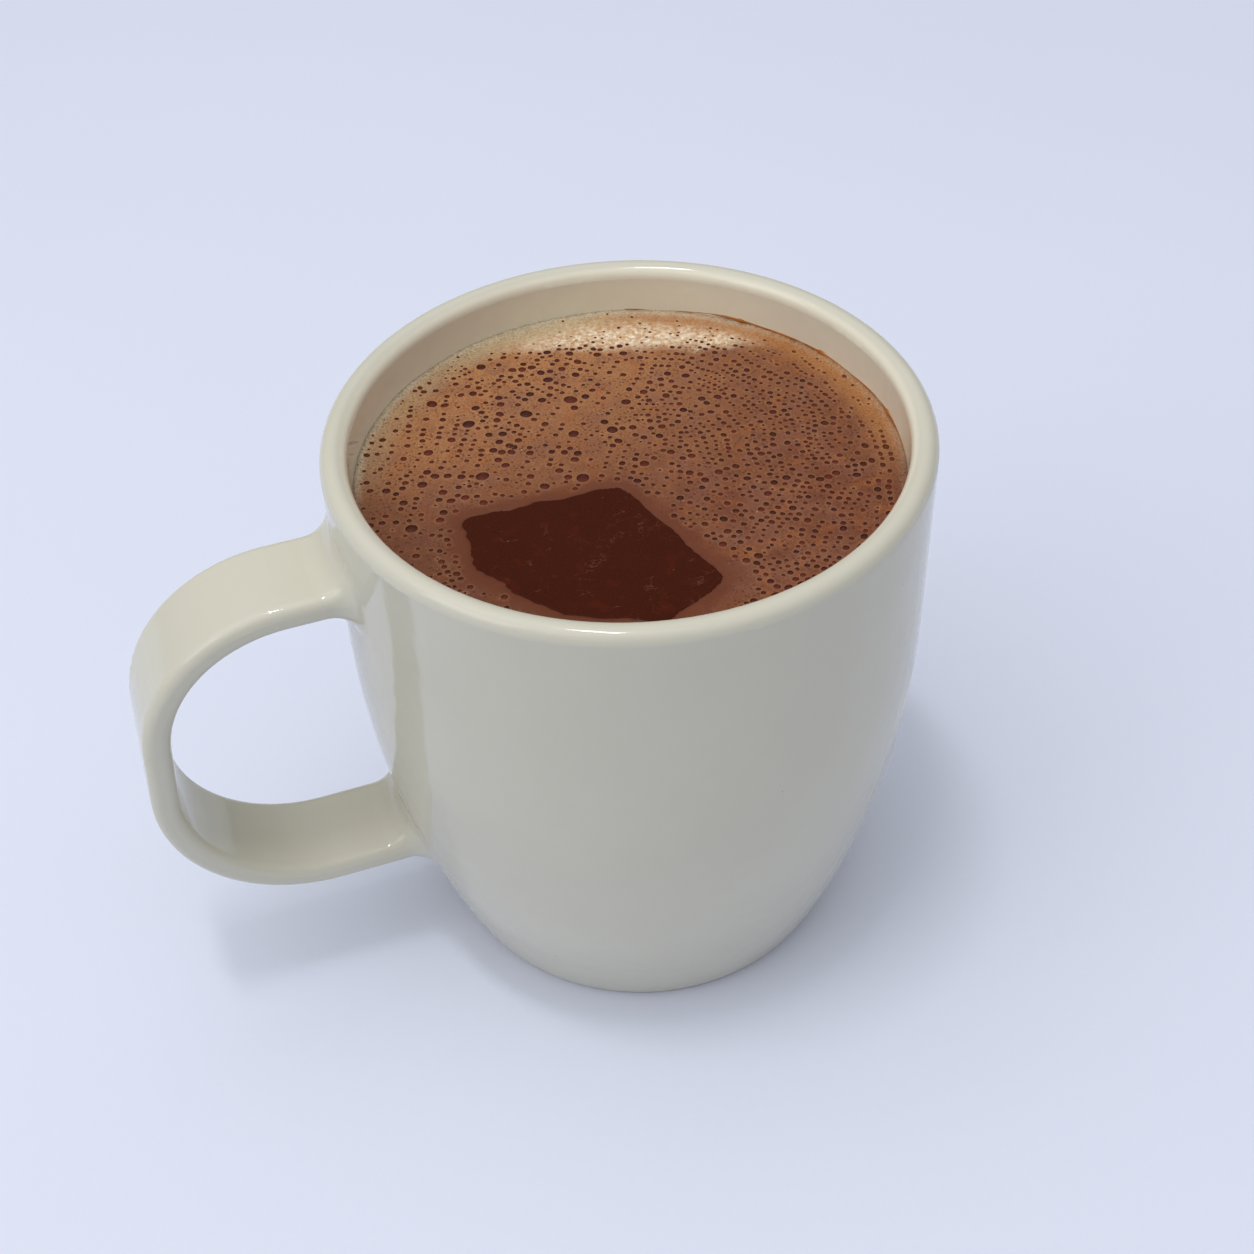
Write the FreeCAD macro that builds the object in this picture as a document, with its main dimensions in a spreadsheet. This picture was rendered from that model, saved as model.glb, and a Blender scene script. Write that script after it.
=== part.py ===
# Hot chocolate in a handled mug.
#
# Frame: the mug's axis is Z and the mug stands on the plane Z = 0.  The strap handle points
# along -X.  All sizes are millimetres.
#
# Sub-parts, each one solid written to its own file:
#   mug    glazed ceramic body with a raised foot ring, a full round lip and a strap handle
#   drink  the chocolate, from the mug's floor to the underside of the foam, with a low
#          island that rises into the opening in the foam
#   foam   the thin foam that floats on the drink from wall to wall, open over the island

import FreeCAD, Part
import Sketcher
import math
import os

V = FreeCAD.Vector

SIZES = [
    # name, value, what it measures
    ("rim_radius", 42.5, "outer radius of the straight upper wall"),
    ("mug_height", 89.2, "foot plane to the top of the lip"),
    ("shoulder_share", 0.665, "height of the shoulder, as a share of the mug's height"),
    ("foot_radius", 31.5, "outer radius where the wall meets the foot plane"),
    ("wall", 3.8, "thickness of the wall"),
    ("foot_width", 4.6, "width of the foot ring at the foot plane"),
    ("recess_depth", 2.0, "height of the hollow inside the foot ring"),
    ("recess_slope", 1.5, "how far the inner side of the foot ring leans inwards"),
    ("floor_height", 6.4, "height of the mug's inner floor above the foot plane"),
    ("floor_round", 9.0, "radius between the inner floor and the inner wall"),
    ("foot_round", 1.6, "radius on the outer edge of the foot"),
    ("strap_width", 15.3, "width of the strap handle"),
    ("strap_thickness", 4.0, "thickness of the strap handle"),
    ("strap_round", 1.6, "radius on the long edges of the strap"),
    ("strap_drop_share", 0.1536, "middle of the strap's top run below the lip, as a share of the height"),
    ("strap_rise_share", 0.592, "height between the strap's two runs, as a share of the height"),
    ("strap_reach", 30.8, "middle of the strap's furthest point from the upper wall"),
    ("top_run_share", 0.286, "length of the strap's straight top run, as a share of its reach"),
    ("top_bend_share", 0.4, "radius of the upper bend, as a share of the rise"),
    ("low_bend_share", 0.42, "radius of the lower bend, as a share of the rise"),
    ("joint_round", 4.5, "radius of the fillet where the strap meets the wall"),
    ("level_drop", 7.8, "top of the foam below the top of the lip"),
    ("foam_thickness", 1.6, "thickness of the foam"),
    ("island_drop", 0.4, "top of the open drink below the top of the foam"),
    # corners of the opening in the foam, as shares of the drink's radius
    ("opening_x_a", -0.643, "first corner, along X"),
    ("opening_y_a", -0.07, "first corner, along Y"),
    ("opening_x_b", -0.08, "second corner, along X"),
    ("opening_y_b", -0.1, "second corner, along Y"),
    ("opening_x_c", 0.09, "third corner, along X"),
    ("opening_y_c", -0.676, "third corner, along Y"),
    ("opening_x_d", -0.137, "fourth corner, along X"),
    ("opening_y_d", -0.787, "fourth corner, along Y"),
    ("opening_x_e", -0.44, "fifth corner, along X"),
    ("opening_y_e", -0.641, "fifth corner, along Y"),
    ("opening_x_f", -0.655, "sixth corner, along X"),
    ("opening_y_f", -0.314, "sixth corner, along Y"),
    ("opening_round", 1.8, "radius on the corners of the opening"),
]
S = {name: value for name, value, _ in SIZES}
CORNERS = "abcdef"

doc = FreeCAD.newDocument("HotChocolate")
sheet = doc.addObject("Spreadsheet::Sheet", "Sizes")
for row, (name, value, meaning) in enumerate(SIZES, start=1):
    sheet.set("A%d" % row, name)
    sheet.set("B%d" % row, str(value))
    sheet.set("C%d" % row, meaning)
    sheet.setAlias("B%d" % row, name)
doc.recompute()

# expressions shared by several sketches
SHOULDER = "Sizes.mug_height * Sizes.shoulder_share"
LEVEL = "(Sizes.mug_height - Sizes.level_drop)"
STRAP_TOP = "Sizes.mug_height * (1 - Sizes.strap_drop_share)"
STRAP_LOW = "Sizes.mug_height * (1 - Sizes.strap_drop_share - Sizes.strap_rise_share)"
RISE = "Sizes.mug_height * Sizes.strap_rise_share"
INNER = "(Sizes.rim_radius - Sizes.wall)"
LEAN = "(Sizes.rim_radius - Sizes.foot_radius)"
BELLY = "((%s ^ 2 + (%s) ^ 2) / (2 * %s))" % (LEAN, SHOULDER, LEAN)

# the same values as numbers, for the first shape of each sketch
shoulder = S["mug_height"] * S["shoulder_share"]
level = S["mug_height"] - S["level_drop"]
inner = S["rim_radius"] - S["wall"]
lean = S["rim_radius"] - S["foot_radius"]
belly = (lean ** 2 + shoulder ** 2) / (2 * lean)
belly_x = S["rim_radius"] - belly
strap_top = S["mug_height"] * (1 - S["strap_drop_share"])
rise = S["mug_height"] * S["strap_rise_share"]
strap_low = strap_top - rise


def wall_radius(radius, height):
    """Radius of a belly arc of the given radius at a height below the shoulder."""
    return belly_x + math.sqrt(radius ** 2 - (shoulder - height) ** 2)


def new_body(label):
    body = doc.addObject("PartDesign::Body", label)
    body.Label = label
    return body


def origin_plane(body, role):
    for item in body.Origin.OriginFeatures:
        if item.Role == role:
            return item
    raise RuntimeError("no " + role)


def new_sketch(body, name, role):
    sketch = body.newObject("Sketcher::SketchObject", name)
    sketch.AttachmentSupport = [(origin_plane(body, role), "")]
    sketch.MapMode = "FlatFace"
    return sketch


class Outline:
    """A closed or open run of lines and arcs in one sketch, joined end to start."""

    def __init__(self, sketch):
        self.sketch = sketch

    def line(self, a, b):
        return self.sketch.addGeometry(
            Part.LineSegment(V(a[0], a[1], 0), V(b[0], b[1], 0)), False
        )

    def arc(self, centre, radius, start, end):
        """Arc from angle start up to angle end, in radians."""
        circle = Part.Circle(V(centre[0], centre[1], 0), V(0, 0, 1), radius)
        return self.sketch.addGeometry(Part.ArcOfCircle(circle, start, end), False)

    def join(self, one, end_one, two, end_two):
        self.sketch.addConstraint(Sketcher.Constraint("Coincident", one, end_one, two, end_two))

    def rule(self, *args):
        return self.sketch.addConstraint(Sketcher.Constraint(*args))

    def size(self, name, kind, args, value, expression):
        """A named size, bound to the sheet."""
        index = self.sketch.addConstraint(Sketcher.Constraint(kind, *args, value))
        self.sketch.renameConstraint(index, name)
        self.sketch.setExpression("Constraints." + name, expression)
        return index


def spin(body, name, sketch):
    feature = body.newObject("PartDesign::Revolution", name)
    feature.Profile = sketch
    feature.ReferenceAxis = (sketch, ["V_Axis"])
    feature.Angle = 360.0
    sketch.Visibility = False
    doc.recompute()
    return feature


def round_edges(body, name, base, edges, size):
    feature = body.newObject("PartDesign::Fillet", name)
    feature.Base = (base, edges)
    feature.setExpression("Radius", "Sizes." + size)
    feature.Radius = S[size]
    doc.recompute()
    return feature


def edges_where(shape, test):
    return ["Edge%d" % (i + 1) for i, edge in enumerate(shape.Edges) if test(edge)]


# ---------------------------------------------------------------- mug

mug = new_body("mug")
cup = new_sketch(mug, "CupProfile", "XZ_Plane")
o = Outline(cup)
recess_in = S["foot_radius"] - S["foot_width"]
belly_in = belly - S["wall"]
floor_r = wall_radius(belly_in, S["floor_height"])
lip_z = S["mug_height"] - S["wall"] / 2
base = o.line((0, S["recess_depth"]), (recess_in - S["recess_slope"], S["recess_depth"]))
side = o.line((recess_in - S["recess_slope"], S["recess_depth"]), (recess_in, 0))
foot = o.line((recess_in, 0), (S["foot_radius"], 0))
low = o.arc((belly_x, shoulder), belly, math.atan2(-shoulder, S["foot_radius"] - belly_x), 0)
up = o.line((S["rim_radius"], shoulder), (S["rim_radius"], lip_z))
lip = o.arc((S["rim_radius"] - S["wall"] / 2, lip_z), S["wall"] / 2, 0, math.pi)
down = o.line((inner, lip_z), (inner, shoulder))
bowl = o.arc(
    (belly_x, shoulder), belly_in, math.atan2(S["floor_height"] - shoulder, floor_r - belly_x), 0
)
floor = o.line((floor_r, S["floor_height"]), (0, S["floor_height"]))
close = o.line((0, S["floor_height"]), (0, S["recess_depth"]))
o.join(base, 2, side, 1)
o.join(side, 2, foot, 1)
o.join(foot, 2, low, 1)
o.join(low, 2, up, 1)
o.join(up, 2, lip, 1)
o.join(lip, 2, down, 1)
o.join(down, 2, bowl, 2)
o.join(bowl, 1, floor, 1)
o.join(floor, 2, close, 1)
o.join(close, 2, base, 1)
o.rule("Horizontal", base)
o.rule("Horizontal", foot)
o.rule("Horizontal", floor)
o.rule("Vertical", up)
o.rule("Vertical", down)
o.rule("Vertical", close)
o.rule("PointOnObject", close, 1, -2)
o.rule("PointOnObject", foot, 1, -1)
o.rule("Coincident", low, 3, bowl, 3)
o.rule("Horizontal", low, 3, low, 2)
o.rule("Horizontal", lip, 3, lip, 1)
o.rule("Horizontal", lip, 3, lip, 2)
o.rule("Horizontal", bowl, 3, bowl, 2)
o.size("rim_radius", "DistanceX", (-1, 1, up, 1), S["rim_radius"], "Sizes.rim_radius")
o.size("shoulder", "DistanceY", (-1, 1, up, 1), shoulder, SHOULDER)
o.size("foot_radius", "DistanceX", (-1, 1, foot, 2), S["foot_radius"], "Sizes.foot_radius")
o.size("foot_width", "DistanceX", (foot, 1, foot, 2), S["foot_width"], "Sizes.foot_width")
o.size("recess_depth", "DistanceY", (-1, 1, base, 2), S["recess_depth"], "Sizes.recess_depth")
o.size("recess_slope", "DistanceX", (base, 2, foot, 1), S["recess_slope"], "Sizes.recess_slope")
o.size("lip_height", "DistanceY", (-1, 1, up, 2), lip_z, "Sizes.mug_height - Sizes.wall / 2")
o.size("wall", "DistanceX", (down, 1, up, 2), S["wall"], "Sizes.wall")
o.size("floor_height", "DistanceY", (-1, 1, floor, 1), S["floor_height"], "Sizes.floor_height")
doc.recompute()
turned = spin(mug, "Cup", cup)

# the strap: a rounded section swept along two runs and two bends
path = new_sketch(mug, "StrapPath", "XZ_Plane")
p = Outline(path)
top_r = rise * S["top_bend_share"]
low_r = rise * S["low_bend_share"]
top_c = (-(S["rim_radius"] + S["strap_reach"] * S["top_run_share"]), strap_top - top_r)
low_c = (-(S["rim_radius"] + S["strap_reach"] - low_r), strap_low + low_r)
apart = math.hypot(top_c[0] - low_c[0], top_c[1] - low_c[1])
lean_angle = math.atan2(top_c[1] - low_c[1], top_c[0] - low_c[0]) + math.acos((low_r - top_r) / apart)
n = (math.cos(lean_angle), math.sin(lean_angle))
top_t = (top_c[0] + top_r * n[0], top_c[1] + top_r * n[1])
low_t = (low_c[0] + low_r * n[0], low_c[1] + low_r * n[1])
start = (-(S["rim_radius"] - S["wall"] / 2), strap_top)
end = (-(wall_radius(belly, strap_low) - S["wall"] / 2), strap_low)
run_top = p.line(start, (top_c[0], strap_top))
bend_top = p.arc(top_c, top_r, math.pi / 2, lean_angle)
run_side = p.line(top_t, low_t)
bend_low = p.arc(low_c, low_r, lean_angle, 3 * math.pi / 2)
run_low = p.line((low_c[0], strap_low), end)
p.rule("Horizontal", run_top)
p.rule("Horizontal", run_low)
p.rule("Tangent", run_top, 2, bend_top, 1)
p.rule("Tangent", bend_top, 2, run_side, 1)
p.rule("Tangent", run_side, 2, bend_low, 1)
p.rule("Tangent", bend_low, 2, run_low, 1)
p.size("root_top_x", "DistanceX", (run_top, 1, -1, 1), -start[0], "Sizes.rim_radius - Sizes.wall / 2")
p.size("root_top_z", "DistanceY", (-1, 1, run_top, 1), strap_top, STRAP_TOP)
p.size(
    "run_top", "DistanceX", (bend_top, 3, -1, 1), -top_c[0],
    "Sizes.rim_radius + Sizes.strap_reach * Sizes.top_run_share",
)
p.size("top_bend", "Radius", (bend_top,), top_r, RISE + " * Sizes.top_bend_share")
p.size("low_bend", "Radius", (bend_low,), low_r, RISE + " * Sizes.low_bend_share")
p.size(
    "low_centre", "DistanceX", (bend_low, 3, -1, 1), -low_c[0],
    "Sizes.rim_radius + Sizes.strap_reach - %s * Sizes.low_bend_share" % RISE,
)
p.size("root_low_z", "DistanceY", (-1, 1, run_low, 2), strap_low, STRAP_LOW)
p.size(
    "root_low_x", "DistanceX", (run_low, 2, -1, 1), -end[0],
    "Sizes.rim_radius - %s + sqrt(%s ^ 2 - (%s - %s) ^ 2) - Sizes.wall / 2"
    % (BELLY, BELLY, SHOULDER, STRAP_LOW),
)
doc.recompute()

section = new_sketch(mug, "StrapSection", "YZ_Plane")
section.AttachmentOffset = FreeCAD.Placement(V(0, 0, start[0]), FreeCAD.Rotation())
section.setExpression("AttachmentOffset.Base.z", "-(Sizes.rim_radius - Sizes.wall / 2)")
q = Outline(section)
hw = S["strap_width"] / 2
ht = S["strap_thickness"] / 2
er = S["strap_round"]
zc = strap_top
sides = [
    q.line((-hw + er, zc - ht), (hw - er, zc - ht)),
    q.arc((hw - er, zc - ht + er), er, -math.pi / 2, 0),
    q.line((hw, zc - ht + er), (hw, zc + ht - er)),
    q.arc((hw - er, zc + ht - er), er, 0, math.pi / 2),
    q.line((hw - er, zc + ht), (-hw + er, zc + ht)),
    q.arc((-hw + er, zc + ht - er), er, math.pi / 2, math.pi),
    q.line((-hw, zc + ht - er), (-hw, zc - ht + er)),
    q.arc((-hw + er, zc - ht + er), er, math.pi, 3 * math.pi / 2),
]
for one, two in zip(sides, sides[1:] + sides[:1]):
    q.rule("Tangent", one, 2, two, 1)
q.rule("Horizontal", sides[0])
q.rule("Vertical", sides[2])
q.rule("Horizontal", sides[4])
q.rule("Vertical", sides[6])
q.rule("Equal", sides[1], sides[3])
q.rule("Equal", sides[3], sides[5])
q.rule("Symmetric", sides[2], 1, sides[6], 2, -2)
q.size("edge_round", "Radius", (sides[1],), er, "Sizes.strap_round")
q.size("width", "DistanceX", (sides[6], 2, sides[2], 1), 2 * hw, "Sizes.strap_width")
q.size("thickness", "DistanceY", (sides[0], 2, sides[4], 1), 2 * ht, "Sizes.strap_thickness")
q.size("height", "DistanceY", (-1, 1, sides[0], 2), zc - ht, STRAP_TOP + " - Sizes.strap_thickness / 2")
doc.recompute()

strap = mug.newObject("PartDesign::AdditivePipe", "Strap")
strap.Profile = section
strap.Spine = path
strap.Mode = "Standard"
section.Visibility = False
path.Visibility = False
doc.recompute()

# fillets: where the strap meets the wall, then the inner floor, then the foot
def on_joint(edge):
    """An edge where the strap meets the outer wall: on the wall and within the strap's width."""
    box = edge.BoundBox
    middle = edge.valueAt((edge.FirstParameter + edge.LastParameter) / 2)
    reach = math.hypot(middle.x, middle.y)
    half = S["strap_width"] / 2 + 0.1
    near = box.YMin >= -half and box.YMax <= half and box.XMax < 0
    return near and S["foot_radius"] < reach < S["rim_radius"] + 0.3


joint_edges = edges_where(strap.Shape, on_joint)
joint = round_edges(mug, "StrapJoint", strap, joint_edges, "joint_round")


def at_circle(height, least, most):
    def test(edge):
        box = edge.BoundBox
        flat = abs(box.ZMin - height) < 0.01 and abs(box.ZMax - height) < 0.01
        return flat and least < box.XMax < most and abs(box.XMax + box.XMin) < 0.1

    return test


inside = round_edges(
    mug,
    "FloorRound",
    joint,
    edges_where(joint.Shape, at_circle(S["floor_height"], 5, S["foot_radius"])),
    "floor_round",
)
edge_of_foot = round_edges(
    mug,
    "FootRound",
    inside,
    edges_where(inside.Shape, at_circle(0, S["foot_radius"] - 0.5, S["foot_radius"] + 0.5)),
    "foot_round",
)

# ---------------------------------------------------------------- drink and foam


def opening(body, name, height, height_expression):
    """The outline of the opening in the foam, on a level plane."""
    sketch = new_sketch(body, name, "XY_Plane")
    sketch.AttachmentOffset = FreeCAD.Placement(V(0, 0, height), FreeCAD.Rotation())
    sketch.setExpression("AttachmentOffset.Base.z", height_expression)
    run = Outline(sketch)
    corners = [(S["opening_x_" + c] * inner, S["opening_y_" + c] * inner) for c in CORNERS]
    lines = [run.line(a, b) for a, b in zip(corners, corners[1:] + corners[:1])]
    for one, two in zip(lines, lines[1:] + lines[:1]):
        run.join(one, 2, two, 1)
    for letter, line, corner in zip(CORNERS, lines, corners):
        for way, kind, value in (("x", "DistanceX", corner[0]), ("y", "DistanceY", corner[1])):
            bound = "Sizes.opening_%s_%s * %s" % (way, letter, INNER)
            if value < 0:
                run.size(way + "_" + letter, kind, (line, 1, -1, 1), -value, "-(" + bound + ")")
            else:
                run.size(way + "_" + letter, kind, (-1, 1, line, 1), value, bound)
    doc.recompute()
    return sketch


def upright(low_z, high_z):
    """Upright edges between two heights that stand within the drink's radius."""

    def test(edge):
        box = edge.BoundBox
        straight = box.XLength < 0.01 and box.YLength < 0.01
        return straight and abs(box.ZMin - low_z) < 0.02 and abs(box.ZMax - high_z) < 0.02 and (
            math.hypot(box.Center.x, box.Center.y) < inner - 0.5
        )

    return test


drink = new_body("drink")
fill = new_sketch(drink, "DrinkProfile", "XZ_Plane")
d = Outline(fill)
under = level - S["foam_thickness"]
bed = d.line((0, S["floor_height"]), (floor_r, S["floor_height"]))
curve = d.arc(
    (belly_x, shoulder), belly_in, math.atan2(S["floor_height"] - shoulder, floor_r - belly_x), 0
)
tall = d.line((inner, shoulder), (inner, under))
top = d.line((inner, under), (0, under))
axis = d.line((0, under), (0, S["floor_height"]))
d.join(bed, 2, curve, 1)
d.join(curve, 2, tall, 1)
d.join(tall, 2, top, 1)
d.join(top, 2, axis, 1)
d.join(axis, 2, bed, 1)
d.rule("Horizontal", bed)
d.rule("Horizontal", top)
d.rule("Vertical", tall)
d.rule("Vertical", axis)
d.rule("PointOnObject", axis, 1, -2)
d.rule("Horizontal", curve, 3, curve, 2)
d.size("inner_radius", "DistanceX", (-1, 1, tall, 1), inner, INNER)
d.size("shoulder", "DistanceY", (-1, 1, tall, 1), shoulder, SHOULDER)
d.size("floor_height", "DistanceY", (-1, 1, bed, 1), S["floor_height"], "Sizes.floor_height")
d.size("belly", "Radius", (curve,), belly_in, BELLY + " - Sizes.wall")
d.size("underside", "DistanceY", (-1, 1, top, 1), under, LEVEL + " - Sizes.foam_thickness")
doc.recompute()
filled = spin(drink, "Fill", fill)
island_outline = opening(drink, "IslandOutline", under, LEVEL + " - Sizes.foam_thickness")
island = drink.newObject("PartDesign::Pad", "Island")
island.Profile = island_outline
island.setExpression("Length", "Sizes.foam_thickness - Sizes.island_drop")
island.Length = S["foam_thickness"] - S["island_drop"]
island_outline.Visibility = False
doc.recompute()
island_round = round_edges(
    drink,
    "IslandRound",
    island,
    edges_where(island.Shape, upright(under, level - S["island_drop"])),
    "opening_round",
)
drink_floor = round_edges(
    drink,
    "DrinkFloorRound",
    island_round,
    edges_where(island_round.Shape, at_circle(S["floor_height"], 5, S["foot_radius"])),
    "floor_round",
)

foam = new_body("foam")
disc = new_sketch(foam, "FoamProfile", "XZ_Plane")
w = Outline(disc)
edge_low = w.line((0, under), (inner, under))
edge_out = w.line((inner, under), (inner, level))
edge_top = w.line((inner, level), (0, level))
edge_axis = w.line((0, level), (0, under))
for one, two in ((edge_low, edge_out), (edge_out, edge_top), (edge_top, edge_axis), (edge_axis, edge_low)):
    w.join(one, 2, two, 1)
w.rule("Horizontal", edge_low)
w.rule("Horizontal", edge_top)
w.rule("Vertical", edge_out)
w.rule("Vertical", edge_axis)
w.rule("PointOnObject", edge_axis, 1, -2)
w.size("inner_radius", "DistanceX", (-1, 1, edge_out, 1), inner, INNER)
w.size("underside", "DistanceY", (-1, 1, edge_out, 1), under, LEVEL + " - Sizes.foam_thickness")
w.size("thickness", "DistanceY", (edge_out, 1, edge_out, 2), level - under, "Sizes.foam_thickness")
doc.recompute()
spread = spin(foam, "Spread", disc)
hole_outline = opening(foam, "OpeningOutline", level, LEVEL)
hole = foam.newObject("PartDesign::Pocket", "Opening")
hole.Profile = hole_outline
hole.Type = "ThroughAll"
hole_outline.Visibility = False
doc.recompute()
if hole.Shape.Volume > spread.Shape.Volume - 1:
    hole.Reversed = True
    doc.recompute()
hole_round = round_edges(
    foam,
    "OpeningRound",
    hole,
    edges_where(hole.Shape, upright(under, level)),
    "opening_round",
)

# ---------------------------------------------------------------- checks and files

doc.recompute()
faults = []
for item in doc.Objects:
    if "Invalid" in item.State or "Error" in item.State:
        faults.append("%s is %s" % (item.Name, item.State))
bodies = [mug, drink, foam]
for body in bodies:
    shape = body.Shape
    if shape.isNull() or not shape.isValid() or len(shape.Solids) != 1:
        faults.append("%s has no single valid solid" % body.Label)
if faults:
    raise RuntimeError("; ".join(faults))
os.makedirs("parts", exist_ok=True)
for body in bodies:
    body.Shape.exportStep("parts/%s.step" % body.Label)
    box = body.Shape.BoundBox
    print(
        "%-6s volume %.1f mm3, box %.1f %.1f %.1f to %.1f %.1f %.1f"
        % (body.Label, body.Shape.Volume, box.XMin, box.YMin, box.ZMin, box.XMax, box.YMax, box.ZMax)
    )
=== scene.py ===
"""Hot chocolate in a handled mug: glazed stoneware, dark chocolate, and a thin skin of bubbly froth.

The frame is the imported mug.  Lengths in the formulas below are millimetres, and they are
turned into metres when a mesh is made.
"""

import bpy
import math
import numpy as np
from mathutils import Matrix, Vector
from mathutils.geometry import delaunay_2d_cdt


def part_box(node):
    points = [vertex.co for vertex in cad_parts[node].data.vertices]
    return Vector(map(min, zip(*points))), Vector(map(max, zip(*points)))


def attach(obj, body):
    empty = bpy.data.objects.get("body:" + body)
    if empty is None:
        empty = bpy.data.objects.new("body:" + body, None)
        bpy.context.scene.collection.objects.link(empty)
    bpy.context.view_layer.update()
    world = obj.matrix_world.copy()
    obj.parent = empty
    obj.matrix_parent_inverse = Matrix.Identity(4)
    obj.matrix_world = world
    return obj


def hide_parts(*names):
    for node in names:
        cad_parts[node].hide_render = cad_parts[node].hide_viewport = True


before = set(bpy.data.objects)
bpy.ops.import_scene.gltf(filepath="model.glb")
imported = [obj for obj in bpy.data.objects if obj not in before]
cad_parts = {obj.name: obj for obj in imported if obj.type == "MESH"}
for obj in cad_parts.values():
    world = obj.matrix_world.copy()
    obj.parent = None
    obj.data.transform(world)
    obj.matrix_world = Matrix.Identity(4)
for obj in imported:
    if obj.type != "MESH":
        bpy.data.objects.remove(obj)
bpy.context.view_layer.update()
MM = 0.001

# ------------------------------------------------------------------ sizes of the mug and drink

FOAM_LOW, FOAM_HIGH = (np.array(corner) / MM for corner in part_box("foam"))
DRINK_LOW, DRINK_HIGH = (np.array(corner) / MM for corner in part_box("drink"))
INNER = float(FOAM_HIGH[0])
LEVEL = float(FOAM_HIGH[2])
UNDERSIDE = float(FOAM_LOW[2])
FLOOR = DRINK_LOW[2]

# the cup's inside: upright down to the shoulder, then the belly's arc and the floor's rounding
SHOULDER = 59.3
BELLY_ARC = 161.5
FLOOR_ROUND = 9.0
FLOOR_FULLNESS = 0.9

# the froth's skin lies a little under the foam's top, and the open chocolate a little over the
# drink's
SKIN_DROP = 0.12
POOL_RISE = 0.22
SKIN = LEVEL - SKIN_DROP
POOL = float(DRINK_HIGH[2]) + POOL_RISE

# corners of the opening in the froth, as shares of the drink's radius; its corners are rounded,
# its edge is set out a little past them, and it is about 11 mm from its middle to its edge
OPENING = INNER * np.array(
    [
        (-0.643, -0.070),
        (-0.080, -0.100),
        (0.090, -0.676),
        (-0.137, -0.787),
        (-0.440, -0.641),
        (-0.655, -0.314),
    ]
)
OPENING_INSET = -0.45
OPENING_ROUND = 1.2
OPENING_REACH = 11.0

# the way the drink was set down: "across" runs along the table's front edge, "back" away from it
TURN = math.radians(72.0)
BACK = np.array([math.cos(TURN), math.sin(TURN)])
ACROSS = np.array([math.sin(TURN), -math.cos(TURN)])


def smooth(low, high, value):
    """Zero below low, one above high, and the usual cubic between."""
    t = np.clip((value - low) / (high - low), 0.0, 1.0)
    return t * t * (3.0 - 2.0 * t)


def waves(x, y, length, seed, count=7):
    """Gentle unevenness between about -1 and 1: the mean of plane waves that run in random
    directions with random phases, their lengths spread around the one given."""
    rng = np.random.default_rng(seed)
    way = rng.uniform(0, 2 * np.pi, count)
    size = length * rng.uniform(0.7, 1.5, count)
    phase = rng.uniform(0, 2 * np.pi, count)
    px = np.asarray(x)[..., None] * np.cos(way) + np.asarray(y)[..., None] * np.sin(way)
    return np.sin(2 * np.pi * px / size + phase).sum(-1) / math.sqrt(count)


def set_down(x, y):
    """The same places along ACROSS and along BACK."""
    return x * ACROSS[0] + y * ACROSS[1], x * BACK[0] + y * BACK[1]


def opening_distance(x, y):
    """Distance to the edge of the opening in the froth, negative inside it: the distance to the
    cornered outline drawn in by its rounding, less that rounding, with a slight wobble."""
    p = np.stack([np.asarray(x, float), np.asarray(y, float)], -1)
    centre = OPENING.mean(0)
    shrunk = centre + (OPENING - centre) * (1 - (OPENING_ROUND + OPENING_INSET) / OPENING_REACH)
    run = np.roll(shrunk, -1, axis=0) - shrunk
    away = p[..., None, :] - shrunk
    share = np.clip((away * run).sum(-1) / (run * run).sum(-1), 0, 1)
    gap = np.linalg.norm(away - share[..., None] * run, axis=-1).min(-1)
    side = run[:, 0] * away[..., 1] - run[:, 1] * away[..., 0]
    within = (side < 0).all(-1)
    far = np.where(within, -gap, gap) - OPENING_ROUND
    # the wobble is stronger on the side that lies to the left
    ragged = 1 - smooth(-22.0, -6.0, p @ ACROSS)
    wobble = (0.16 + 0.20 * ragged) * waves(x, y, 5.0, 11)
    fine_wobble = (0.05 + 0.12 * ragged) * waves(x, y, 1.9, 12)
    return far + wobble + fine_wobble


def opening_outline(count):
    """The edge of the opening as a closed loop: rays from its middle, each cut where the
    distance to the edge passes through zero, found by halving."""
    centre = OPENING.mean(0)
    angle = np.linspace(0, 2 * np.pi, count, endpoint=False)
    ray = np.stack([np.cos(angle), np.sin(angle)], -1)
    low = np.zeros(count)
    high = np.full(count, 30.0)
    halvings = 40
    for _ in range(halvings):
        middle = (low + high) / 2
        point = centre + ray * middle[:, None]
        inside = opening_distance(point[:, 0], point[:, 1]) < 0
        low = np.where(inside, middle, low)
        high = np.where(inside, high, middle)
    return centre + ray * low[:, None]


# ------------------------------------------------------------------ bubbles in the froth

def clear_of_opening(x, y):
    """How far a point is past the smooth margin that runs round the opening: the margin is
    about two millimetres, and wider at the corner that points across."""
    across, back = set_down(x, y)
    corner = np.exp(-(((across - 13.0) / 7.0) ** 2 + ((back + 27.0) / 6.5) ** 2))
    margin = 1.7 + 3.2 * corner + 0.6 * waves(x, y, 6.0, 21)
    return opening_distance(x, y) - margin


def bent_lattice(rng):
    """Points in rows: closer along a row than from row to row, every other row shifted by half
    a step, and all of it bent by gentle waves."""
    along = 1.0
    apart = 1.34
    lean = 0.9
    rows = int(2 * INNER / along) + 14
    number = np.arange(rows) - rows // 2
    i, j = np.meshgrid(number, number, indexing="ij")
    u = ((j + 0.5 * (i % 2)) * along).ravel()
    v = (i * apart).ravel()
    u, v = u * math.cos(lean) - v * math.sin(lean), u * math.sin(lean) + v * math.cos(lean)
    x = u + 2.2 * waves(u, v, 24.0, 31) + 0.6 * waves(u, v, 9.0, 32) + rng.normal(0, 0.08, u.size)
    y = v + 2.2 * waves(u, v, 22.0, 33) + 0.6 * waves(u, v, 8.0, 34) + rng.normal(0, 0.08, u.size)
    return x, y


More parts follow.
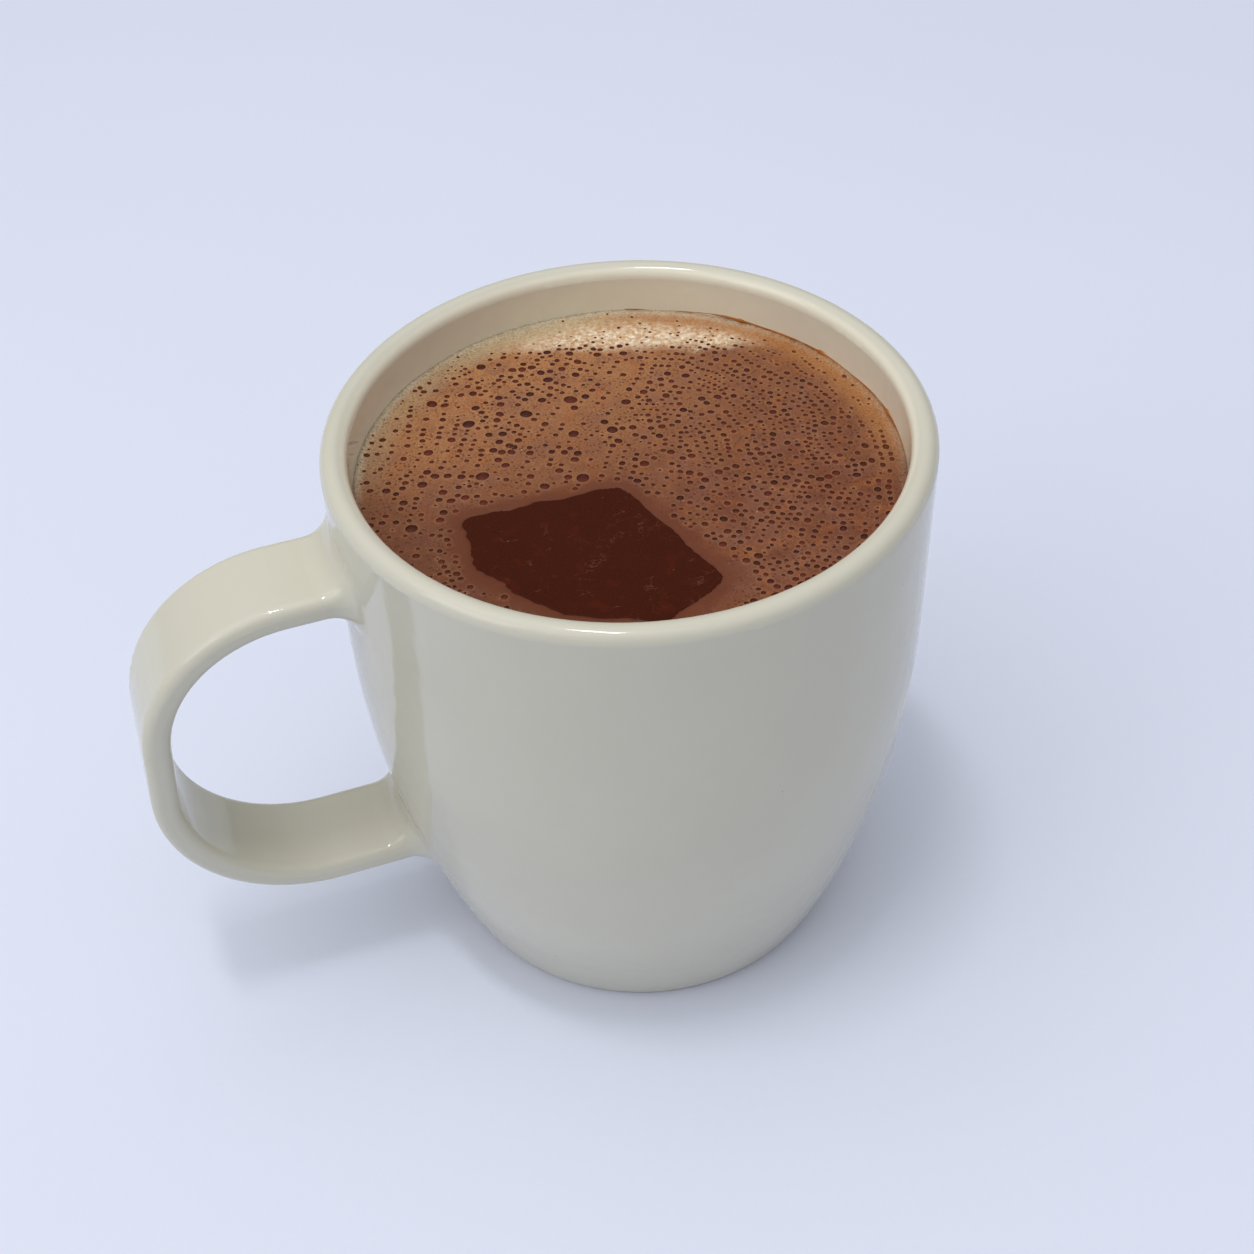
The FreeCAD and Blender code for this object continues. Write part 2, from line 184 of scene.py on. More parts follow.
def ringed_rows(rng):
    """Points in rows that follow the wall: circles a row apart, each divided evenly and every
    other one shifted by half a step, bent by gentle waves."""
    first = 1.9
    apart = 1.30
    along = 1.0
    circle = INNER - first - apart * np.arange(25)
    count = (2 * np.pi * circle / along).astype(int)
    row = np.repeat(np.arange(circle.size), count)
    step = np.arange(count.sum()) - np.repeat(np.cumsum(count) - count, count)
    turn = 2 * np.pi * (step + 0.5 * (row % 2)) / count[row] + 0.3 * row / circle[row]
    x = circle[row] * np.cos(turn)
    y = circle[row] * np.sin(turn)
    stray_x = rng.normal(0, 0.06, x.size)
    stray_y = rng.normal(0, 0.06, x.size)
    bent_x = x + 1.2 * waves(x, y, 17.0, 43) + 0.3 * waves(x, y, 6.0, 47) + stray_x
    bent_y = y + 1.2 * waves(x, y, 19.0, 44) + 0.3 * waves(x, y, 6.0, 48) + stray_y
    return bent_x, bent_y


def large_bubbles():
    """Places and radii of the few large bubbles: random places, more of them on the left and
    at the back, each taken only if it is clear of the opening, the wall and those before it."""
    rng = np.random.default_rng(23)
    tries = 900
    most = 16
    apart = 5.5
    across = rng.uniform(-INNER, INNER, tries)
    back = rng.uniform(-12.0, INNER, tries)
    radius = rng.uniform(0.68, 1.05, tries)
    x = across * ACROSS[0] + back * BACK[0]
    y = across * ACROSS[1] + back * BACK[1]
    wanted = 0.06 + 0.94 * smooth(14.0, -6.0, across)
    fits = rng.uniform(0, 1, tries) < wanted
    fits &= (INNER - np.hypot(x, y) > 4.5) & (clear_of_opening(x, y) > 1.8)
    chosen = []
    for k in np.flatnonzero(fits):
        if all(math.hypot(x[k] - x[c], y[k] - y[c]) > apart for c in chosen):
            chosen.append(k)
    chosen = chosen[:most]
    return x[chosen], y[chosen], radius[chosen]


def bubble_field():
    """Places and radii of the bubbles.  On the left and in the middle they sit on a bent
    lattice, on the right in rows that follow the wall.  Streaks are left empty, the radius
    varies from bubble to bubble, and the smaller of two that would meet is dropped."""
    rng = np.random.default_rng(5)
    lattice_x, lattice_y = bent_lattice(rng)
    row_x, row_y = ringed_rows(rng)
    x = np.concatenate([lattice_x, row_x])
    y = np.concatenate([lattice_y, row_y])
    in_rows = np.arange(x.size) >= lattice_x.size
    across, back = set_down(x, y)
    wall = INNER - np.hypot(x, y)
    rows_here = across + 0.35 * back + 3.0 * waves(x, y, 12.0, 45) > 9.0
    # how full each part of the surface is
    right = smooth(-6, 14, across)
    fill = 0.72 + 0.24 * right + 0.22 * waves(x, y, 5.5, 35) + 0.10 * waves(x, y, 2.6, 36)
    froth = smooth(28.5, 31.5, back + 0.8 * waves(x, y, 5.0, 37))
    pale_edge = smooth(6.5, 2.0, wall + 0.8 * waves(x, y, 6.0, 38)) * smooth(-2, 12, back)
    fill = fill * (1 - 0.60 * froth) * (1 - 0.55 * pale_edge)
    # how large its bubbles are
    fine = smooth(6, 20, across) * smooth(0, 14, back)
    grain = 0.395 - 0.045 * fine + 0.05 * waves(x, y, 9.0, 39)
    spread = 0.27 - 0.09 * right
    radius = grain * np.exp(rng.normal(0, 1, x.size) * spread)
    radius = radius * (1 - 0.35 * froth) * (1 - 0.20 * pale_edge)
    radius = np.clip(radius, 0.12, 0.62)
    keep = rng.uniform(0, 1, x.size) < fill
    keep &= wall > radius + 0.45
    keep &= clear_of_opening(x, y) > radius
    keep &= in_rows == rows_here
    large_x, large_y, large_radius = large_bubbles()
    x = np.concatenate([large_x, x[keep]])
    y = np.concatenate([large_y, y[keep]])
    radius = np.concatenate([large_radius, radius[keep]])
    gap = np.hypot(x[:, None] - x[None, :], y[:, None] - y[None, :])
    meet = gap < 1.05 * (radius[:, None] + radius[None, :]) + 0.05
    bigger = radius[:, None] > radius[None, :]
    dropped = (meet & bigger).any(0)
    return x[~dropped], y[~dropped], radius[~dropped]


def froth_height(x, y):
    """Height of the froth's skin: level, slightly uneven, climbing a little way up the wall,
    and sloping under the open chocolate at the edge of the opening."""
    wall = INNER - np.hypot(x, y)
    climb = 0.55 * np.exp(-np.clip(wall, 0, None) / 0.9)
    edge = opening_distance(x, y)
    slope = (LEVEL - POOL) * (1 - smooth(0.0, 1.1, edge))
    uneven = 0.05 * waves(x, y, 12.0, 41) + 0.03 * waves(x, y, 3.1, 42)
    return SKIN + climb - slope + uneven * smooth(0.4, 2.0, edge)


# a bubble's rings, from its rim inwards: share of the radius, height over the radius, how far
# the ring belongs to the hollow, how far it belongs to the rim
SMALL_RINGS = [(1.0, 0.03, 0.0, 1.0), (0.82, -0.24, 1.0, 0.1), (0.45, -0.10, 1.0, 0.0)]
MIDDLE_RINGS = [
    (1.14, 0.0, 0.0, 0.3),
    (1.0, 0.05, 0.0, 1.0),
    (0.88, -0.20, 1.0, 0.2),
    (0.66, -0.10, 1.0, 0.0),
    (0.34, 0.0, 1.0, 0.0),
]
LARGE_RINGS = [
    (1.16, 0.0, 0.0, 0.3),
    (1.07, 0.07, 0.0, 0.8),
    (1.0, 0.04, 0.0, 1.0),
    (0.93, -0.15, 0.9, 0.4),
    (0.84, -0.14, 1.0, 0.0),
    (0.62, -0.04, 1.0, 0.0),
    (0.40, 0.025, 1.0, 0.0),
    (0.20, 0.055, 1.0, 0.0),
]


def bubble_points(x, y, radius, rings, sides, middle_height, rng):
    """Points of many bubbles at once: each ring is a slightly oval circle scaled by the
    bubble's radius, and one point closes the middle.  Near the right wall they are drawn out
    along it.  Returns x, y, drop, hollow, rim and shade; the shade is a random tone for each
    bubble, made lighter on the bubble's near side as painted light."""
    angle = np.linspace(0, 2 * np.pi, sides, endpoint=False)
    table = np.array(rings)
    turn = rng.uniform(0, 2 * np.pi, x.size)
    across, _ = set_down(x, y)
    drawn = smooth(9.0, 3.0, INNER - np.hypot(x, y)) * smooth(8.0, 20.0, across)
    oval = 1 + rng.uniform(-0.07, 0.07, x.size) + 0.16 * drawn
    a = angle[None, None, :] + turn[:, None, None]
    tangent = np.arctan2(y, x) + np.pi / 2
    lean = np.where(drawn > 0.3, tangent, rng.uniform(0, np.pi, x.size))[:, None, None]
    ux = np.cos(a) * oval[:, None, None]
    uy = np.sin(a) / oval[:, None, None]
    rx = ux * np.cos(lean) - uy * np.sin(lean)
    ry = ux * np.sin(lean) + uy * np.cos(lean)
    scale = radius[:, None, None] * table[None, :, 0, None]
    px = x[:, None, None] + scale * rx
    py = y[:, None, None] + scale * ry
    drop = np.broadcast_to(radius[:, None, None] * table[None, :, 1, None], px.shape)
    hollow = np.broadcast_to(table[None, :, 2, None], px.shape)
    rim = np.broadcast_to(table[None, :, 3, None], px.shape)
    shade = rng.uniform(0, 1, x.size)
    # painted light: each bubble's rings are made lighter on its near (front) side, mixed into its random
    # tone
    near_side = -(scale * (rx * BACK[0] + ry * BACK[1])) / radius[:, None, None]
    ring_tone_and_painted_light = 0.55 * shade[:, None, None] + 0.45 * np.clip(0.35 + 0.75 * near_side, 0, 1)
    return [
        np.concatenate([px.ravel(), x]),
        np.concatenate([py.ravel(), y]),
        np.concatenate([drop.ravel(), radius * middle_height]),
        np.concatenate([hollow.ravel(), np.ones(x.size)]),
        np.concatenate([rim.ravel(), np.zeros(x.size)]),
        np.concatenate([ring_tone_and_painted_light.ravel(), 0.55 * shade + 0.16]),
    ]


def plain_points(x, y, radius, rng):
    """Points of the froth between the bubbles: a jittered grid, thinned where a bubble is."""
    pitch = 0.52
    line = np.arange(-INNER, INNER, pitch)
    gx, gy = np.meshgrid(line, line)
    gx = gx.ravel() + rng.uniform(-0.2, 0.2, gx.size) * pitch
    gy = gy.ravel() + rng.uniform(-0.2, 0.2, gy.size) * pitch
    keep = (np.hypot(gx, gy) < INNER - 0.35) & (opening_distance(gx, gy) > 0.25)
    gx, gy = gx[keep], gy[keep]
    free = np.ones(gx.size, bool)
    for part in np.array_split(np.arange(x.size), 12):
        gap = np.hypot(gx[:, None] - x[None, part], gy[:, None] - y[None, part])
        free &= (gap > 1.16 * radius[None, part] + 0.10).all(1)
    return gx[free], gy[free]


def fill_between(px, py, loops):
    """Triangles over flat points, bounded by closed loops of point numbers."""
    edges = [(int(a), int(b)) for loop in loops for a, b in zip(loop, np.roll(loop, -1))]
    points = [Vector((float(a), float(b))) for a, b in zip(px, py)]
    spots, _, faces, origin, _, _ = delaunay_2d_cdt(points, edges, [], 0, 1e-7, True)
    spots = np.array([tuple(s) for s in spots])
    faces = np.array([f for f in faces if len(f) == 3], dtype=np.int64)
    first = np.array([o[0] if o else -1 for o in origin])
    return spots, faces, first


def add_mesh(name, points, faces):
    """A smooth mesh object from arrays of millimetre points and of faces."""
    mesh = bpy.data.meshes.new(name)
    mesh.vertices.add(len(points))
    mesh.vertices.foreach_set("co", (np.asarray(points) * MM).astype(np.float32).ravel())
    faces = np.asarray(faces)
    sides = faces.shape[1]
    mesh.loops.add(faces.size)
    mesh.loops.foreach_set("vertex_index", faces.ravel().astype(np.int32))
    mesh.polygons.add(len(faces))
    mesh.polygons.foreach_set("loop_start", np.arange(0, faces.size, sides, dtype=np.int32))
    mesh.update(calc_edges=True)
    mesh.validate()
    mesh.polygons.foreach_set("use_smooth", np.ones(len(mesh.polygons), bool))
    mesh.update()
    piece = bpy.data.objects.new(name, mesh)
    bpy.context.scene.collection.objects.link(piece)
    return piece


def quads_of(grid):
    """The four-sided faces between the neighbours in a grid of point numbers."""
    corners = (grid[:-1, :-1], grid[:-1, 1:], grid[1:, 1:], grid[1:, :-1])
    return np.column_stack([corner.ravel() for corner in corners])


def give_attribute(piece, name, values):
    """One number for each point of a piece, for its material to read."""
    layer = piece.data.attributes.new(name, "FLOAT", "POINT")
    layer.data.foreach_set("value", np.asarray(values, np.float32))


WALL_SIDES = 300
HEM_SIDES = 220
SMALL_RADIUS = 0.26
LARGE_RADIUS = 0.55
EDGE_SLACK = 0.02


def make_froth():
    """The froth's skin: flat points joined into triangles, lifted to the froth's height and
    sunk inside each bubble, closed by short walls and an underside."""
    rng = np.random.default_rng(8)
    x, y, radius = bubble_field()
    small = radius < SMALL_RADIUS
    large = radius > LARGE_RADIUS
    middle = ~small & ~large
    groups = [
        bubble_points(x[small], y[small], radius[small], SMALL_RINGS, 8, -0.03, rng),
        bubble_points(x[middle], y[middle], radius[middle], MIDDLE_RINGS, 11, 0.03, rng),
        bubble_points(x[large], y[large], radius[large], LARGE_RINGS, 20, 0.065, rng),
    ]
    gx, gy = plain_points(x, y, radius, rng)
    none = np.zeros(gx.size)
    groups.append([gx, gy, none, none, none, none])
    angle = np.linspace(0, 2 * np.pi, WALL_SIDES, endpoint=False)
    hem = opening_outline(HEM_SIDES)
    rim_x = np.concatenate([(INNER - EDGE_SLACK) * np.cos(angle), hem[:, 0]])
    rim_y = np.concatenate([(INNER - EDGE_SLACK) * np.sin(angle), hem[:, 1]])
    none = np.zeros(rim_x.size)
    groups.append([rim_x, rim_y, none, none, none, none])
    px, py, drop, hollow, rim, shade = (np.concatenate(part) for part in zip(*groups))
    base = px.size - rim_x.size
    wall_loop = base + np.arange(WALL_SIDES)
    hem_loop = base + WALL_SIDES + np.arange(HEM_SIDES)
    spots, faces, first = fill_between(px, py, [wall_loop, hem_loop])
    middle_of = spots[faces].mean(1)
    inside_opening = opening_distance(middle_of[:, 0], middle_of[:, 1]) < -EDGE_SLACK
    faces = faces[~inside_opening]
    lost = first < 0
    first = np.where(lost, 0, first)
    height = froth_height(spots[:, 0], spots[:, 1]) + np.where(lost, 0, drop[first])
    top = np.column_stack([spots, height])
    # walls and underside, which dips to the drink at the wall and stays high round the opening
    where = {int(o): k for k, o in enumerate(first) if not lost[k]}
    outer = np.array([where[int(k)] for k in wall_loop])
    inner = np.array([where[int(k)] for k in hem_loop])
    low = np.concatenate([top[outer], top[inner]])
    low[:WALL_SIDES, 2] = UNDERSIDE + 0.05
    low[WALL_SIDES:, 2] = POOL - 0.5
    wall_low = np.arange(WALL_SIDES)
    hem_low = WALL_SIDES + np.arange(HEM_SIDES)
    bottom_xy, bottom_faces, bottom_first = fill_between(low[:, 0], low[:, 1], [wall_low, hem_low])
    middle_of = bottom_xy[bottom_faces].mean(1)
    kept = bottom_faces[opening_distance(middle_of[:, 0], middle_of[:, 1]) > -EDGE_SLACK]
    underside = len(top) + bottom_first[kept][:, ::-1]
    walls = []
    for upper, lower in ((outer, len(top) + wall_low), (inner[::-1], len(top) + hem_low[::-1])):
        next_upper = np.roll(upper, -1)
        next_lower = np.roll(lower, -1)
        walls.append(np.column_stack([upper, lower, next_lower]))
        walls.append(np.column_stack([upper, next_lower, next_upper]))
    piece = add_mesh("froth", np.concatenate([top, low]), np.concatenate([faces, underside] + walls))
    # only the skin is smooth, so that it doesn't shade round onto the walls
    skin = np.arange(len(piece.data.polygons)) < len(faces)
    piece.data.polygons.foreach_set("use_smooth", skin)
    # the tone attribute carries each bubble's random tone and the painted light on its near side
    for name, values in (("hollow", hollow), ("rim", rim), ("tone", shade)):
        full = np.concatenate([np.where(lost, 0, values[first]), np.zeros(len(low))])
        give_attribute(piece, name, full)
    shore = opening_distance(spots[:, 0], spots[:, 1])
    give_attribute(piece, "shore", np.concatenate([np.clip(shore, 0, 8), np.zeros(len(low))]))
    return piece


def pool_height(x, y):
    """Height of the chocolate: almost level in the opening, and under the froth elsewhere."""
    edge = opening_distance(x, y)
    still = POOL + 0.015 * waves(x, y, 9.0, 51)
    return still - (POOL - UNDERSIDE + 0.2) * smooth(0.25, 2.0, edge)


def cup_radius(z):
    """Radius of the cup's inside: upright above the shoulder, and below it the belly's arc,
    which a rounding carries into the floor."""
    below = np.clip(SHOULDER - z, 0, None)
    belly = INNER - BELLY_ARC + np.sqrt(BELLY_ARC**2 - below**2)
    bend = np.clip((FLOOR + FLOOR_ROUND - z) / FLOOR_ROUND, 0, 1)
    return belly - FLOOR_ROUND * (1 - np.sqrt(1 - bend**2)) * FLOOR_FULLNESS


def make_chocolate():
    """The drink: rings around the axis, out over the surface, down just inside the wall, and
    in again across the floor, closed at its two poles."""
    sides = 420
    step = 0.5
    into_wall = 0.2
    out = np.concatenate([np.arange(step, INNER, step), [INNER + into_wall]])
    down = np.linspace(UNDERSIDE - 1.5, FLOOR - 0.1, 40)
    floor = np.linspace(0.97, 0.1, 8) * (cup_radius(down[-1]) + into_wall)
    ring = np.concatenate([out, cup_radius(down) + into_wall, floor])
    turn = np.linspace(0, 2 * np.pi, sides, endpoint=False)
    x = ring[:, None] * np.cos(turn)[None, :]
    y = ring[:, None] * np.sin(turn)[None, :]
    z = np.empty_like(x)
    z[: out.size] = pool_height(x[: out.size], y[: out.size])
    z[out.size : out.size + down.size] = down[:, None]
    z[out.size + down.size :] = down[-1]
    middle = float(pool_height(np.zeros(1), np.zeros(1))[0])
    poles = [[0, 0, middle], [0, 0, down[-1]]]
    points = np.concatenate([np.stack([x, y, z], -1).reshape(-1, 3), poles])
    top = len(ring) * sides
    grid = np.arange(top).reshape(-1, sides)
    nxt = np.roll(grid, -1, axis=1)
    a, b, c, d = (part.ravel() for part in (grid[:-1], grid[1:], nxt[1:], nxt[:-1]))
    faces = [np.column_stack([a, b, c]), np.column_stack([a, c, d])]
    faces.append(np.column_stack([np.full(sides, top), grid[0], nxt[0]]))
    faces.append(np.column_stack([np.full(sides, top + 1), nxt[-1], grid[-1]]))
    return add_mesh("chocolate", points, np.concatenate(faces))


# ------------------------------------------------------------------ shader building

# a Mix node has sockets for numbers, vectors and colours; these are the ones for colours
MIX_FACTOR, MIX_ONE, MIX_TWO, MIX_RESULT = 0, 6, 7, 2


class Number:
    """One value in a material.  Arithmetic on it adds Math nodes."""

    def __init__(self, paint, socket):
        self.paint = paint
        self.socket = socket

    def math(self, operation, *others):
        return self.paint.value("ShaderNodeMath", {"operation": operation}, [self, *others])

    def __add__(self, other):
        return self.math("ADD", other)

    def __radd__(self, other):
        return self.math("ADD", other)

    def __sub__(self, other):
        return self.math("SUBTRACT", other)

    def __rsub__(self, other):
        return self.paint.value("ShaderNodeMath", {"operation": "SUBTRACT"}, [other, self])

    def __mul__(self, other):
        return self.math("MULTIPLY", other)

    def __rmul__(self, other):
        return self.math("MULTIPLY", other)

    def __truediv__(self, other):
        return self.math("DIVIDE", other)

    def most(self, other):
        return self.math("MAXIMUM", other)

    def root(self):
        return self.math("SQRT")

    def size(self):
        return self.math("ABSOLUTE")

    def held(self):
        """The value kept between zero and one."""
        return self.math("MAXIMUM", 0.0).math("MINIMUM", 1.0)


class Nodes:
    """A node tree, built by one method that adds any node."""

    def __init__(self, tree, coordinates):
        self.tree = tree
        self.place = self.node("ShaderNodeTexCoord").outputs[coordinates]

    def node(self, kind, settings=None, inputs=None):
        """Adds a node: its settings first, then the values or links of its sockets, which are
        given by name or number, or as a list from the first on."""
        made = self.tree.nodes.new(kind)
        for key, value in (settings or {}).items():
            setattr(made, key, value)
        pairs = enumerate(inputs) if isinstance(inputs, list) else (inputs or {}).items()
        for key, value in pairs:
            socket = made.inputs[key]
            if isinstance(value, Number):
                value = value.socket
            if isinstance(value, bpy.types.NodeSocket):
                self.tree.links.new(value, socket)
            elif socket.type == "RGBA":
                socket.default_value = (*value, 1.0)
            else:
                socket.default_value = value
        return made

    def value(self, kind, settings=None, inputs=None, output=0):
        """A node whose output is one number."""
        return Number(self, self.node(kind, settings, inputs).outputs[output])

    def split(self):
        """The coordinates, one number for each axis."""
        parts = self.node("ShaderNodeSeparateXYZ", None, {"Vector": self.place})
        return [Number(self, parts.outputs[k]) for k in range(3)]

    def step(self, value, low, high):
        """Zero at low, one at high, a smooth cubic between."""
        settings = {"interpolation_type": "SMOOTHSTEP"}
        inputs = {"Value": value, "From Min": low, "From Max": high}
        return self.value("ShaderNodeMapRange", settings, inputs)


class Paint(Nodes):
    """A material: one shader, and the patterns that feed it."""

    def __init__(self, name, **constants):
        self.material = bpy.data.materials.new(name)
        self.material.use_nodes = True
        tree = self.material.node_tree
        tree.nodes.clear()
        super().__init__(tree, "Object")
        self.shader = self.node("ShaderNodeBsdfPrincipled")
        for key, value in constants.items():
            self.shader.inputs[key.replace("_", " ")].default_value = value
        self.node("ShaderNodeOutputMaterial", None, {"Surface": self.shader.outputs["BSDF"]})

    def axes(self):
        """Object coordinates in millimetres, one number for each axis."""
        return [part / MM for part in self.split()]

    def noise(self, size, detail=3.0, rough=0.5, stretch=None):
        """Cloudy noise whose patches are about size millimetres."""
        place = self.place
        if stretch:
            place = self.node("ShaderNodeMapping", None, {"Vector": place, "Scale": stretch}).outputs[0]
        inputs = {"Vector": place, "Scale": 1.0 / (size * MM), "Detail": detail, "Roughness": rough}
        return self.value("ShaderNodeTexNoise", None, inputs, "Fac")

    def cells(self, size, feature="F1", randomness=1.0):
        """Distance to the middles of cells about size millimetres across."""
        inputs = {"Vector": self.place, "Scale": 1.0 / (size * MM), "Randomness": randomness}
        return self.value("ShaderNodeTexVoronoi", {"feature": feature}, inputs, "Distance")

    def blend(self, factor, one, two):
        """A colour between one and two."""
        inputs = {MIX_FACTOR: factor, MIX_ONE: one, MIX_TWO: two}
        return self.node("ShaderNodeMix", {"data_type": "RGBA"}, inputs).outputs[MIX_RESULT]

    def attribute(self, name):
        """A number that the mesh carries at each point."""
        return self.value("ShaderNodeAttribute", {"attribute_name": name}, None, "Fac")

    def bump(self, height, depth, strength=1.0):
        """A Bump node; height runs from zero to one over depth millimetres."""
        inputs = {"Height": height, "Distance": depth * MM, "Strength": strength}
        return self.node("ShaderNodeBump", None, inputs).outputs["Normal"]

    def set(self, **links):
        """Feeds sockets of the shader."""
        for key, value in links.items():
            socket = self.shader.inputs[key.replace("_", " ")]
            if isinstance(value, Number):
                value = value.socket
            self.tree.links.new(value, socket)


def tone(red, green, blue):
    """A colour given as screen values from 0 to 255, as the linear light a shader uses."""
    screen = np.array([red, green, blue]) / 255.0
    linear = np.where(screen <= 0.04045, screen / 12.92, ((screen + 0.055) / 1.055) ** 2.4)
    return tuple(float(v) for v in linear)


# ------------------------------------------------------------------ materials


def glazed_stoneware():
    """Cream glaze over stoneware, bare on the foot ring, faintly mottled, with a few pinholes
    and pimples; inside the cup it is painted lighter and warmer, as painted light standing in
    for the light and the drink's warm bounce that reach the inner wall."""
    p = Paint("glazed_stoneware", IOR=1.5)
    x, y, z = p.axes()
    cloud = p.noise(22.0, 4.0, 0.55)
    fine = p.noise(2.2, 3.0, 0.6)
    below = (SHOULDER - z).most(0.0)
    cup = INNER - BELLY_ARC + (BELLY_ARC**2 - below * below).root()
    inside = p.step((x * x + y * y).root() - cup, 1.2, 0.3)
    outside = p.blend(cloud, tone(199, 196, 180), tone(207, 204, 189))
    # painted light: the inside of the cup is painted lighter and warmer than the outside glaze, for the
    # light and the drink's warm bounce there
    cream = p.blend(inside, outside, tone(233, 227, 208))
    cream = p.blend(fine * 0.2, cream, tone(204, 199, 180))
    pin = p.step(p.cells(7.5), 0.035, 0.02)
    rare = p.step(p.noise(9.0, 1.0), 0.62, 0.66)
    cream = p.blend(pin * rare * 0.55, cream, tone(150, 132, 100))
    bare = p.step(z + (fine - 0.5) * 0.3, 0.75, 0.45)
    colour = p.blend(bare, cream, tone(206, 196, 178))
    gloss = p.noise(14.0, 3.0, 0.6) * 0.06 + 0.05 + bare * 0.5
    swell = p.noise(9.0, 2.0, 0.5)
    peel = p.noise(1.3, 2.0, 0.5)
    pimple = p.step(p.cells(11.0), 0.05, 0.0) * p.step(p.noise(15.0, 1.0), 0.55, 0.6)
    relief = swell * 0.75 + peel * 0.05 + pimple * 0.35
    p.set(Base_Color=colour, Roughness=gloss, Normal=p.bump(relief, 0.22))
    return p.material


def dark_chocolate():
    """Open chocolate: smooth, dark, with faint milky streaks lying on it."""
    p = Paint("dark_chocolate", IOR=1.35, Specular_IOR_Level=0.10)
    cloud = p.noise(9.0, 4.0, 0.6)
    colour = p.blend(cloud, tone(54, 16, 4), tone(65, 22, 7))
    line = p.noise(6.0, 5.0, 0.62, stretch=(1.0, 1.7, 1.0))
    thread = p.step((line - 0.5).size(), 0.010, 0.0)
    hair = p.step((p.noise(3.4, 4.0, 0.6) - 0.5).size(), 0.009, 0.0)
    patchy = p.step(p.noise(4.0, 2.0), 0.55, 0.68)
    elsewhere = p.step(p.noise(5.2, 2.0), 0.56, 0.66)
    fleck = p.step(p.cells(2.4), 0.07, 0.03) * p.step(p.noise(6.0, 1.0), 0.46, 0.56)
    milky = (thread * patchy * 0.30 + hair * elsewhere * 0.16 + fleck * 0.30).held()
    grain = p.step(p.noise(0.35, 2.0), 0.35, 0.65)
    colour = p.blend(grain * 0.3, colour, tone(76, 31, 13))
    red = p.step(p.noise(3.0, 3.0), 0.56, 0.70)
    colour = p.blend(red * 0.25, colour, tone(94, 30, 10))
    colour = p.blend(milky, colour, tone(160, 112, 92))
    relief = p.noise(5.0, 2.0) * 0.4 + milky * 0.3
    p.set(Base_Color=colour, Roughness=milky * 0.2 + 0.12, Normal=p.bump(relief, 0.06))
    return p.material


